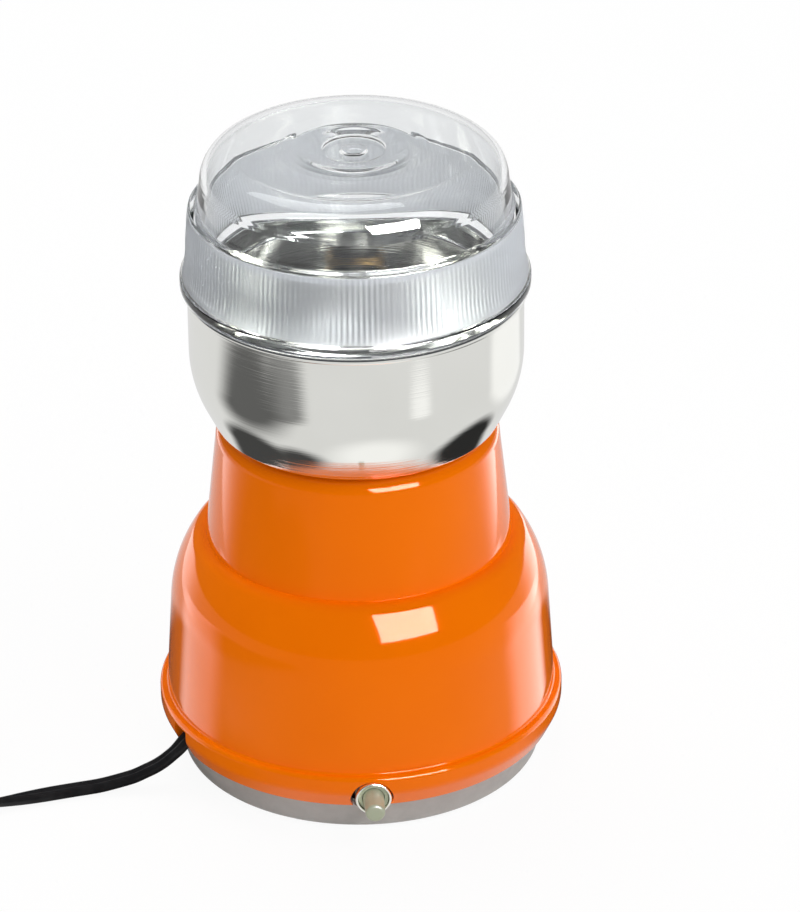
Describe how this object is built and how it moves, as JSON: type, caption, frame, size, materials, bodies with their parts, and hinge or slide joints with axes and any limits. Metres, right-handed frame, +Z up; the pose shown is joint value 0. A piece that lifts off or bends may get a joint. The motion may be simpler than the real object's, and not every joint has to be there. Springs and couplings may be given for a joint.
{
  "type": "electric food chopper",
  "caption": "Small electric blade chopper: bell-shaped orange motor housing, fixed steel bowl with a spinning blade, clear lift-off lid, push button and mains lead.",
  "frame": {"origin": "on the table under the blade's turning axis, in the plane that the rubber feet stand on", "axes": "+Z up along the motor shaft, -Y towards the push button"},
  "size_m": [0.2134, 0.1635, 0.1705],
  "materials": {
    "orange_plastic": "polished orange moulding",
    "grey_plastic": "plain grey moulding",
    "bowl_steel": "polished with faint turning lines",
    "clear_plastic": "clear moulding",
    "button_plastic": "pale grey-green moulding",
    "collar_metal": "bright plated",
    "black_rubber": "plain",
    "dark_plastic": "plain dark moulding",
    "brown_plastic": "heat-proof moulding",
    "carbon": "pressed carbon",
    "steel": "bright steel",
    "lamination": "stacked sheet",
    "copper": "enamelled copper",
    "bronze": "sintered bronze",
    "cast_aluminium": "as cast",
    "wire_insulation": "soft sheath",
    "cord_sheath": "soft black sheath",
    "pin_metal": "plated brass"
  },
  "bodies": {
    "base": {"housing": "orange_plastic", "base_cover": "grey_plastic", "rubber_feet": "black_rubber", "base_screws": "steel", "bowl": "bowl_steel", "bowl_gasket": "black_rubber", "bowl_bush": "bronze", "bowl_screws": "steel", "stator_core": "lamination", "field_coils": "copper", "upper_bracket": "cast_aluminium", "lower_bracket": "cast_aluminium", "upper_bearing": "bronze", "lower_bearing": "bronze", "motor_bolts": "steel", "brush_holders": "brown_plastic", "brush_spring_front": "steel", "brush_spring_back": "steel", "switch_body": "dark_plastic", "button_collar": "collar_metal", "button_spring": "steel", "cord_clamp": "dark_plastic", "clamp_screws": "steel", "lead_wires": "wire_insulation", "cord": "cord_sheath", "cord_coil": "cord_sheath", "coil_tie": "dark_plastic", "plug_body": "cord_sheath", "plug_pins": "pin_metal"},
    "lid": {"lid": "clear_plastic"},
    "rotor": {"blade": "steel", "blade_hub": "dark_plastic", "blade_nut": "steel", "motor_shaft": "steel", "armature_core": "lamination", "armature_windings": "copper", "commutator": "copper"},
    "button": {"button_cap": "button_plastic"},
    "brush_front": {"carbon_brush_front": "carbon"},
    "brush_back": {"carbon_brush_back": "carbon"}
  },
  "joints": [
    {"name": "lid_lift", "type": "slide", "parent": "base", "child": "lid", "axis": [0, 0, 1], "range_m": [0, 0.06]},
    {"name": "rotor_spin", "type": "hinge", "parent": "base", "child": "rotor", "pos_m": [0, 0, 0.064], "axis": [0, 0, 1], "continuous": true},
    {"name": "button_press", "type": "slide", "parent": "base", "child": "button", "axis": [0, 1, 0], "range_m": [0, 0.003], "stiffness_N_per_m": 500, "springref_m": -0.004, "deforming": ["button_spring"]},
    {"name": "brush_front_feed", "type": "slide", "parent": "base", "child": "brush_front", "axis": [0, -1, 0], "range_m": [0, 0.0025], "stiffness_N_per_m": 40, "springref_m": -0.02, "deforming": ["brush_spring_front"]},
    {"name": "brush_back_feed", "type": "slide", "parent": "base", "child": "brush_back", "axis": [0, 1, 0], "range_m": [0, 0.0025], "stiffness_N_per_m": 40, "springref_m": -0.02, "deforming": ["brush_spring_back"]}
  ]
}
